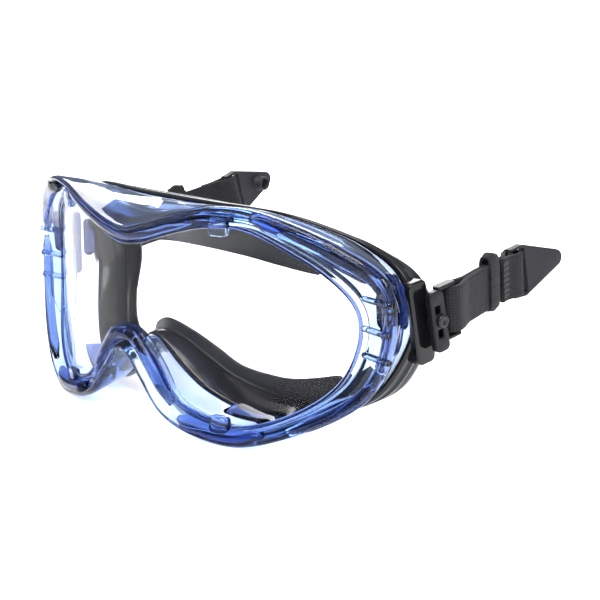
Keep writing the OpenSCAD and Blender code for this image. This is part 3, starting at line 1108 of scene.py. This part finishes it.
@dataclass
class RearRing:
    """The glossy black ring behind the clear frame, with a lug at each temple."""

    rails: Rails
    wall: float = 2.2
    fit_gap: float = 0.3
    lug_height: float = 24.0
    lug_tilt: float = 11.0
    lug_root: float = 74.4
    lug_face: float = 79.2
    boss_seat: float = 77.2
    boss_radius: float = 2.1

    def sections(self) -> np.ndarray:
        """Works out the ring's closed sections, with two raised lines on its outer face.

        Returns:
            Sections by points by 3.
        """
        r = self.rails
        e, t, o = r.edge, r.ring, r.out
        w = unit(t - e)
        f = e + (self.fit_gap + 0.2) * w
        corners = [
            f + 0.3 * o,
            f + 1.1 * o + 0.9 * w,
            mix(e, t, 0.24) + 1.15 * o,
            mix(e, t, 0.29) + 0.55 * o,
            mix(e, t, 0.42) + 0.6 * o,
            mix(e, t, 0.47) + 1.15 * o,
            mix(e, t, 0.55) + 1.2 * o,
            mix(e, t, 0.6) + 0.7 * o,
            mix(e, t, 0.8) + 0.9 * o,
            t,
            t - self.wall * o,
            mix(e, t, 0.5) - self.wall * o,
            f - self.wall * o,
        ]
        return round_corners(np.stack(corners, 1), 0.5, 3)

    def build(self) -> None:
        """Makes the ring, its lugs and the pins' bosses."""
        ring = loft("black_ring", to_part(self.sections()), closed=True)
        settle(ring, "goggle", RING_GLOSS, ["rear_frame"])
        for side in Side:
            self.lug(side)

    def lug(self, side: Side) -> None:
        """Makes one temple's pad and the boss that the pin goes into.

        Args:
            side: which temple.
        """
        x, y, z = side.sign * (self.lug_face + self.lug_root) / 2, PIVOT[1], PIVOT[2]
        seat = chain(MM_FRAME, LENS_TO_PART + [x, y, z], ("X", self.lug_tilt), ("Y", 90.0))
        half = self.lug_height / 2 - 0.5
        outline = rounded_rectangle((-half, -6.6), (half, -0.9), 1.4)
        depth = self.lug_face - self.lug_root
        pad = cut_plate(f"temple_lug_{side.value}", [outline], depth, 0.5, seat)
        settle(pad, "goggle", RING_GLOSS)
        x, b = side.sign * self.boss_seat, self.boss_radius
        seat = chain(MM_FRAME, LENS_TO_PART + [x, y, z], ("Y", side.sign * 90.0))
        profile = [(0, 0), (b + 0.3, 0), (b, 0.5), (b, 3.0), (b - 0.25, 3.3), (0, 3.3)]
        boss = lathe(f"pin_boss_{side.value}", profile, seat)
        settle(boss, "goggle", RING_GLOSS)


@dataclass
class FaceLip:
    """The soft lip that curls in from the ring and rests on the face."""

    rails: Rails
    thickness: float = 2.0
    fit_gap: float = 0.3

    def sections(self) -> np.ndarray:
        """Works out the lip's closed sections, its free edge thinned and rolled.

        Returns:
            Sections by points by 3.
        """
        r = self.rails
        t, l, o = r.ring, r.lip, r.out
        s = t + self.fit_gap * BACK - 0.4 * o
        belly = mix(s, l, 0.5) + 1.5 * BACK
        h = self.thickness
        corners = [
            s,
            mix(s, belly, 0.5) + 0.9 * BACK,
            belly,
            mix(belly, l, 0.6) + 0.35 * BACK,
            l,
            l - 0.5 * h * BACK - 0.4 * o,
            belly - h * BACK,
            mix(s, belly, 0.6) - (h - 0.9) * BACK - 0.2 * o,
            s - 0.85 * h * o,
        ]
        return round_corners(np.stack(corners, 1), 1.2, 4)

    def build(self) -> None:
        """Makes the lip."""
        lip = loft("face_lip", to_part(self.sections()), closed=True)
        settle(lip, "goggle", LIP_RUBBER, ["face_seal"])


@dataclass
class VentBaffle:
    """A dark blue strip that stands inside the frame and turns splashes away from its slots."""

    rails: Rails
    level: Level
    side: Side
    wall: float = 2.4

    def build(self) -> None:
        """Makes the strip between two stations of the rails."""
        level, side, wall = self.level.value, self.side, self.wall
        label, picks = {
            Level.TOP: ("brow", self.rails.picks(2, 5)),
            Level.BOTTOM: ("lobe", self.rails.picks(10, 12)),
        }[self.level]
        sections = self.rails.strip(picks, (0.62, 0.95), (wall + 0.8, wall + 2.0))
        flip = np.array([side.sign, 1.0, 1.0])
        strip = loft(f"{label}_baffle_{side.value}", to_part(sections * flip))
        settle(strip, "goggle", BAFFLE_VINYL, [f"{level}_vent_{side.value}"])


# ----------------------------------------------- brackets, straps, clips


@dataclass(frozen=True)
class Pose:
    """How one side's loose pieces lie, in degrees and mm."""

    tilt: float
    rise: float
    turn: float
    reach: float
    clip_rise: float
    clip_turn: float


POSES = {
    Side.LEFT: Pose(12.0, 5.0, 17.0, 38.5, 10.0, -2.0),
    Side.RIGHT: Pose(18.0, 16.0, 22.0, 41.5, 15.0, -6.0),
}
# The strap's bar from the pivot, in the bracket's own directions
BAR = (-1.5, 6.3, 1.5)
FLAT_TO_SIDE = Matrix(((0, 0, 1, 0), (1, 0, 0, 0), (0, 1, 0, 0), (0, 0, 0, 1)))


@dataclass
class Placement:
    """The frames of one side's bracket, strap and clip, from mm to the part's frame."""

    side: Side

    def __post_init__(self) -> None:
        """Looks up how this side's pieces lie."""
        self.pose = POSES[self.side]

    def base(self) -> Matrix:
        """From the lens frame on the wearer's left to the part, mirrored for the right."""
        return chain(MM_FRAME, LENS_TO_PART) @ Matrix.Diagonal((self.side.sign, 1.0, 1.0, 1.0))

    def bracket(self) -> Matrix:
        """The bracket's frame: zero on the pivot, y along the plate."""
        return chain(self.base(), PIVOT, ("X", self.pose.tilt))

    def bar_point(self) -> Vector:
        """Where the bracket's bar is, in the lens frame on the wearer's left."""
        tilt = Matrix.Rotation(math.radians(self.pose.tilt), 4, "X")
        return Vector(PIVOT) + Vector((BAR[0], 0, 0)) + tilt @ Vector((0, BAR[1], BAR[2]))

    def strap(self) -> Matrix:
        """The strap's frame: zero on the bracket's bar, y along the strap, z across it."""
        return chain(self.base(), self.bar_point(), ("Z", self.pose.turn), ("X", self.pose.rise))

    def clip(self) -> Matrix:
        """Works out the clip's frame: zero on the clip's bar, y towards the clip's tip.

        Returns:
            The frame, the strap's reach away from the bracket's bar.
        """
        p = self.pose
        turn, rise = math.radians(p.turn), math.radians(p.rise)
        run = Vector(
            (-math.sin(turn) * math.cos(rise), math.cos(turn) * math.cos(rise), math.sin(rise))
        )
        own = chain(Matrix(), ("Z", p.clip_turn), ("X", p.clip_rise))
        return chain(self.base(), self.bar_point() + p.reach * run) @ own


@dataclass
class Bracket:
    """The swivel bracket: a plate with two windows, two ears and the strap's bar."""

    side: Side
    height: float = 17.6
    thickness: float = 2.2
    front: float = -3.4
    rear: float = 1.9
    bevel: float = 0.35
    hole_radius: float = 1.36
    window_at: float = 3.4
    bar_radius: float = 0.8
    slot_height: float = 13.8

    def build(self) -> None:
        """Makes the plate, the ears, the bar and the pin."""
        place = Placement(self.side).bracket()
        name, body, bevel = self.side.value, f"bracket_{self.side.value}", self.bevel
        low = (self.front + bevel, -self.height / 2 + bevel)
        high = (self.rear - bevel, self.height / 2 - bevel)
        outlines = [rounded_rectangle(low, high, 1.3), (self.hole_radius + bevel) * circle(28)]
        for z in (-self.window_at, self.window_at):
            low, high = (-2.0 - bevel, z - 1.2 - bevel), (bevel, z + 1.2 + bevel)
            outlines.append(rounded_rectangle(low, high, 0.45))
        flat = place @ FLAT_TO_SIDE
        plate = cut_plate(f"bracket_plate_{name}", outlines, self.thickness, bevel, flat)
        settle(plate, body, BRACKET_NYLON, [f"bracket_{name}"])
        inside = chain(place, (-self.thickness / 2 + 0.2, 0, 0)) @ FLAT_TO_SIDE
        levels = (("upper", 1), ("lower", -1))
        for label, sign in levels:
            z = sign * self.window_at
            pane = rounded_rectangle((-2.6, z - 1.8), (0.6, z + 1.8), 0.4)
            backing = cut_plate(f"window_floor_{label}_{name}", [pane], 0.5, 0.1, inside)
            settle(backing, body, BRACKET_NYLON)
        outline = rounded_rectangle((BAR[0] - 0.4, self.rear - 1.2), (0.7, BAR[1] + 0.7), 0.8)
        for label, sign in levels:
            seat = chain(place, (0, 0, BAR[2] + sign * (self.slot_height / 2 + 0.5)))
            ear = cut_plate(f"bracket_ear_{label}_{name}", [outline], 1.0, 0.25, seat)
            settle(ear, body, BRACKET_NYLON)
        half, r = self.slot_height / 2 + 0.6, self.bar_radius
        profile = [(0, -half), (r, -half), (r, half), (0, half)]
        bar = lathe(f"bracket_bar_{name}", profile, chain(place, BAR), 24)
        settle(bar, body, BRACKET_NYLON)
        self.pin()

    def pin(self) -> None:
        """Makes the headed pin, which stays on the goggle."""
        name = self.side.value
        place = chain(Placement(self.side).base(), PIVOT, ("Y", 90.0))
        top = self.thickness / 2 + 0.15
        profile = [
            (0, -6.0), (1.1, -6.0), (1.3, -5.8), (1.3, top), (1.8, top), (1.9, top + 0.15),
            (1.85, top + 0.5), (1.5, top + 0.75), (0.7, top + 0.8), (0.6, top + 0.5),
            (0, top + 0.45),
        ]  # fmt: skip
        pin = lathe(f"swivel_pin_{name}", profile, place)
        settle(pin, "goggle", PIN_NYLON, [f"pivot_pin_{name}"])


@dataclass
class Strap:
    """The short webbing: looped round both bars, one layer folded back, held by a keeper."""

    side: Side
    width: float = 13.2
    thickness: float = 1.3
    loop: float = 2.55
    fold: float = 27.0
    tail: float = 8.8
    keeper_at: float = 23.5
    keeper_half: float = 2.7
    stitch_radius: float = 0.17

    def __post_init__(self) -> None:
        """Looks up where this side's strap lies, its name and its body's."""
        self.place = Placement(self.side).strap()
        self.name, self.body = self.side.value, f"strap_{self.side.value}"
        self.reach = POSES[self.side].reach

    def path(self) -> np.ndarray:
        """Works out the webbing's middle line in the strap's own x and y.

        It starts at the folded end on the outside, goes round the bracket's bar, runs along the
        inside to the clip's bar, goes round that and ends on the outside.

        Returns:
            The line's points.
        """
        reach = self.reach
        layer = 0.5 * self.thickness + 0.08
        spare = self.loop - layer
        bend = arc(0.0, math.pi, 18)
        front = self.loop * bend * [1.0, -1.0]
        back = self.loop * bend * [-1.0, 1.0] + [0.0, reach]
        out_run = np.linspace(self.fold, 0.0, 26)[:-1]
        x = layer + spare * (1 - smooth_step(out_run / 9.0))
        outer = np.stack([x, out_run], 1)
        in_run = np.linspace(0.0, reach, 44)[1:-1]
        x = -layer - spare * (1 - smooth_step(in_run / 9.0))
        x -= spare * (1 - smooth_step((reach - in_run) / 6.0))
        inner = np.stack([x, in_run], 1)
        end_run = np.linspace(reach, reach - self.tail, 12)[1:]
        x = layer + spare * (1 - smooth_step((reach - end_run) / 6.0))
        return np.vstack([outer, front, inner, back, np.stack([x, end_run], 1)])

    def build(self) -> None:
        """Makes the webbing, the keeper and the bar tacks."""
        self.webbing()
        self.keeper()
        self.tacks()

    def webbing(self) -> None:
        """Carries the webbing's flat section, with round selvedges, along its middle line.

        The section's corners stand at half the thickness either side of the line, square to it,
        and at half the width along z, and the selvedges are a little thicker than the middle. A
        sine wave that fades in past the bar moves the layers sideways, as stiff webbing lies.
        """
        line = self.path()
        tangent = unit(np.gradient(line, axis=0))
        normal = np.stack([tangent[:, 1], -tangent[:, 0]], 1)
        step = np.linalg.norm(np.diff(line, axis=0), axis=1)
        along = np.concatenate([[0.0], np.cumsum(step)])
        half_w, half_t = self.width / 2, self.thickness / 2
        across = np.linspace(-half_w + 0.3, half_w - 0.3, 15)
        edge = np.array([half_w - 0.05, half_w, half_w - 0.05])
        z = np.concatenate([across, edge, across[::-1], -edge])
        face = half_t * (1.0 + 0.12 * smooth_step((np.abs(across) - half_w + 1.6) / 0.8))
        turned = half_t * np.array([0.6, 0.0, -0.6])
        h = np.concatenate([face, turned, -face[::-1], -turned])
        flat = line[:, None] + normal[:, None] * h[None, :, None]
        rows, columns = shape = flat.shape[:2]
        points = np.concatenate([flat, np.broadcast_to(z[None, :, None], (rows, columns, 1))], -1)
        y = points[..., 1]
        points[..., 0] += 0.18 * np.sin(y / 4.1) * smooth_step(y / 6.0)
        webbing = loft(
            f"webbing_{self.name}",
            through(self.place, points),
            along=np.broadcast_to(along[:, None], shape),
            across=np.broadcast_to(z[None], shape),
        )
        settle(webbing, self.body, WEBBING, [f"strap_{self.name}"])

    def keeper(self) -> None:
        """Makes the loop of webbing round both layers, its upper fold standing proud.

        Its section is a rounded box, a super-ellipse: cosine and sine to a power under one. It
        swells by a cosine of the way along the strap, so its two edges draw in.
        """
        cosine, sine = circle(48).T
        x = 2.15 * np.sign(cosine) * np.abs(cosine) ** 0.5
        z = 7.3 * np.sign(sine) * np.abs(sine) ** 0.35
        z = z + 2.2 * smooth_step((z - 4.0) / 3.4)
        y = np.linspace(-self.keeper_half, self.keeper_half, 9)
        lift = 1.0 + 0.04 * np.cos(y / self.keeper_half * math.pi)
        outer = np.stack([np.outer(lift, x), np.repeat(y[:, None], 48, 1), np.outer(lift, z)], -1)
        inner = outer * [0.72, 1.0, 1.0]
        inner[..., 2] = np.sign(outer[..., 2]) * (np.abs(outer[..., 2]) - 0.55).clip(0)
        sections = np.concatenate([outer, inner[::-1]]) + [0.0, self.keeper_at, 0.0]
        shape = sections.shape[:2]
        around = np.linspace(0.0, 2 * math.pi, 49)[:-1] * 6.0
        band = loft(
            f"strap_loop_{self.name}",
            through(self.place, sections),
            closed=True,
            along=np.broadcast_to(around[None], shape),
            across=np.broadcast_to(np.concatenate([y, y[::-1]])[:, None], shape),
        )
        settle(band, self.body, WEBBING, [f"strap_keeper_{self.name}"])

    def tacks(self) -> None:
        """Makes the rows of stitches across the doubled end, each a short rod, as one piece."""
        work = bmesh.new()
        for row, column in ((row, column) for row in range(4) for column in range(7)):
            middle = np.array([self.thickness + 0.2, self.reach - 8.2 + row, -4.8 + 1.6 * column])
            lean = np.array([0.0, 0.25, 0.55])
            start, end = (through(self.place, middle + way * lean) for way in (-1, 1))
            stitch = capsule(f"stitch_{row}_{column}", start, end, self.stitch_radius * MM)
            work.from_mesh(stitch.data)
            bpy.data.objects.remove(stitch)
        tacks = add_mesh(bpy.data.meshes.new(f"bar_tacks_{self.name}"), work)
        settle(tacks, self.body, THREAD, [f"stitching_{self.name}"])


@dataclass
class Clip:
    """The rounded triangular end clip, its bar and the stud on its inner face."""

    side: Side
    width: float = 15.8
    length: float = 21.5
    thickness: float = 2.8
    bevel: float = 0.45
    shoulder: float = 5.2
    shoulder_radius: float = 2.0
    tip_radius: float = 2.6
    bar_at: float = 1.7
    bar_radius: float = 0.8
    slot_end: float = 6.1
    slot_width: float = 13.8
    stud_at: float = 13.5

    def outline(self) -> np.ndarray:
        """Works out the clip's outline with the strap's notch in its base, less the bevel.

        Two shoulder arcs and the tip's arc share their slanted tangents, whose lean comes from
        the arcs' centres and the difference of their radii.

        Returns:
            The outline, one row to a point.
        """
        bevel, half = self.bevel, self.width / 2 - self.shoulder_radius
        tip = self.length - self.tip_radius
        drop = tip - self.shoulder
        lean = math.atan2(half, drop) + math.asin(
            (self.tip_radius - self.shoulder_radius) / math.hypot(half, drop)
        )
        shoulder_r, tip_r = self.shoulder_radius - bevel, self.tip_radius - bevel
        right = np.array([half, self.shoulder]) + shoulder_r * arc(-0.25, lean, 8)
        crown = np.array([0.0, tip]) + tip_r * arc(lean, math.pi - lean, 14)
        left = right[::-1] * [-1.0, 1.0]
        base, slot = self.width / 2 - 0.4 - bevel, self.slot_width / 2 + bevel
        notch = rounded_rectangle((-slot, -9.0), (slot, self.slot_end + bevel), 0.8)[:12]
        foot_right = np.array([[slot, bevel], [base, bevel]])
        foot_left = foot_right[::-1] * [-1.0, 1.0]
        return np.vstack([foot_right, right, crown, left, foot_left, notch[::-1]])

    def build(self) -> None:
        """Makes the plate, the bar and the stud."""
        name, body, clip = self.side.value, f"clip_{self.side.value}", Placement(self.side).clip()
        place = chain(clip, (0, -self.bar_at, 0))
        # the outline's x runs across the clip, its y towards the tip
        stand = Matrix(((0, 0, 1, 0), (0, 1, 0, 0), (1, 0, 0, 0), (0, 0, 0, 1)))
        plate = cut_plate(
            f"clip_plate_{name}", [self.outline()], self.thickness, self.bevel, place @ stand
        )
        settle(plate, body, CLIP_NYLON, [f"clip_{name}"])
        half, r = self.slot_width / 2 + 0.5, self.bar_radius
        profile = [(0, -half), (r, -half), (r, half), (0, half)]
        bar = lathe(f"clip_bar_{name}", profile, chain(place, (0, self.bar_at, 0)), 24)
        settle(bar, body, CLIP_NYLON)
        seat = chain(clip, (-self.thickness / 2 + 0.1, self.stud_at, 0), ("Y", -90.0))
        profile = [
            (0, 0), (2.9, 0), (2.8, 0.3), (2.4, 0.45), (2.4, 2.9), (2.2, 3.2), (1.8, 3.2),
            (1.6, 2.9), (1.5, 0.9), (0, 0.8),
        ]  # fmt: skip
        stud = lathe(f"helmet_stud_{name}", profile, seat)
        settle(stud, body, CLIP_NYLON, [f"clip_stud_{name}"])


# ----------------------------------------------- studio


@dataclass
class Studio:
    """Pale floor, soft lights and the camera."""

    floor_half: float = 6.0
    target: tuple[float, float, float] = (0.0, 0.0, 0.034)
    camera_at: tuple[float, float, float] = (0.407632, -0.331111, 0.135240)
    right: tuple[float, float, float] = (0.64546, 0.76380, 0.0)
    up: tuple[float, float, float] = (-0.15087, 0.12749, 0.98030)
    back: tuple[float, float, float] = (0.74877, -0.63272, 0.19752)
    lens_mm: float = 102.93
    room_strength: float = 1.03

    def build(self) -> None:
        """Makes the camera, the floor, the world and the lamps."""
        self.camera()
        self.floor()
        self.world()
        self.lamp("key_softbox", (0.4, -0.8, 1.3), 1.0, 34.0)
        self.lamp("side_softbox", (1.3, 0.2, 0.8), 0.5, 7.0)
        self.lamp("rim_softbox", (-1.0, 0.9, 1.0), 0.9, 22.0)
        bpy.context.scene.view_settings.view_transform = "Standard"

    def camera(self) -> None:
        """Puts the camera at its place from its three directions."""
        data = bpy.data.cameras.new("camera")
        data.lens = self.lens_mm
        data.sensor_width = 36.0
        data.clip_start = 0.01
        seat = add_object("camera", data)
        turn = Matrix((self.right, self.up, self.back)).transposed().to_4x4()
        seat.matrix_world = Matrix.Translation(Vector(self.camera_at)) @ turn
        bpy.context.scene.camera = seat

    def floor(self) -> None:
        """Makes the wide flat floor."""
        h = self.floor_half
        corners = [(-h, -h, 0.0), (h, -h, 0.0), (h, h, 0.0), (-h, h, 0.0)]
        mesh = bpy.data.meshes.new("studio_floor")
        mesh.from_pydata(corners, [], [(0, 1, 2, 3)])
        mesh.materials.append(StudioWhite("studio_white").make())
        add_object("studio_floor", mesh)

    def world(self) -> None:
        """Makes a bright room: white where seen, elsewhere white overhead and dim low down."""
        world = bpy.data.worlds.new("studio_world")
        world.use_nodes = True
        tree = world.node_tree
        tree.nodes.clear()
        path = add_node(tree, "LightPath").outputs
        rays = {0: path["Is Camera Ray"], 1: path["Is Transmission Ray"]}
        seen = add_node(tree, "Math", rays, operation="MAXIMUM").outputs[0]
        toward = add_node(tree, "TexCoord").outputs["Generated"]
        up = add_node(tree, "SeparateXYZ", {0: toward}).outputs["Z"]
        stops = [(0.0, (0.19, 0.22, 0.29, 1.0)), (0.25, (0.35, 0.39, 0.48, 1.0)), (0.8, WHITE)]
        dome = add_node(tree, "ValToRGB", {"Fac": up}, stops).outputs["Color"]
        colour = add_node(tree, "Mix", {0: seen, 6: dome, 7: WHITE}, data_type="RGBA").outputs[2]
        back = add_node(tree, "Background", {"Color": colour, "Strength": self.room_strength})
        add_node(tree, "OutputWorld", {"Surface": back.outputs[0]})
        bpy.context.scene.world = world

    def lamp(self, name: str, at: tuple[float, float, float], size: float, power: float) -> None:
        """Makes one square softbox aimed at the goggles.

        Args:
            name: the lamp's name.
            at: where it stands, in metres.
            size: its width in metres.
            power: its power in watts.
        """
        data = bpy.data.lights.new(name, "AREA")
        data.shape = "SQUARE"
        data.size = size
        data.energy = power
        turn = (Vector(self.target) - Vector(at)).to_track_quat("-Z", "Y").to_matrix().to_4x4()
        add_object(name, data).matrix_world = Matrix.Translation(Vector(at)) @ turn


def main() -> None:
    """Builds the goggles round their frame, piece by piece."""
    logging.basicConfig(level=logging.INFO, format="%(message)s")
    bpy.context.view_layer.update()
    LOG.info("frame loaded: %s", type(frame).__name__)
    Studio().build()
    rails = Rails()
    builders = [kind(rails) for kind in (ClearFrame, RolledEdges, LensSheet, RearRing, FaceLip)]
    builders += [VentBaffle(rails, level, side) for level in Level for side in Side]
    builders += [kind(side) for side in Side for kind in (Bracket, Strap, Clip)]
    for builder in builders:
        LOG.info("building %s", type(builder).__name__)
        builder.build()


if __name__ == "__main__":
    main()
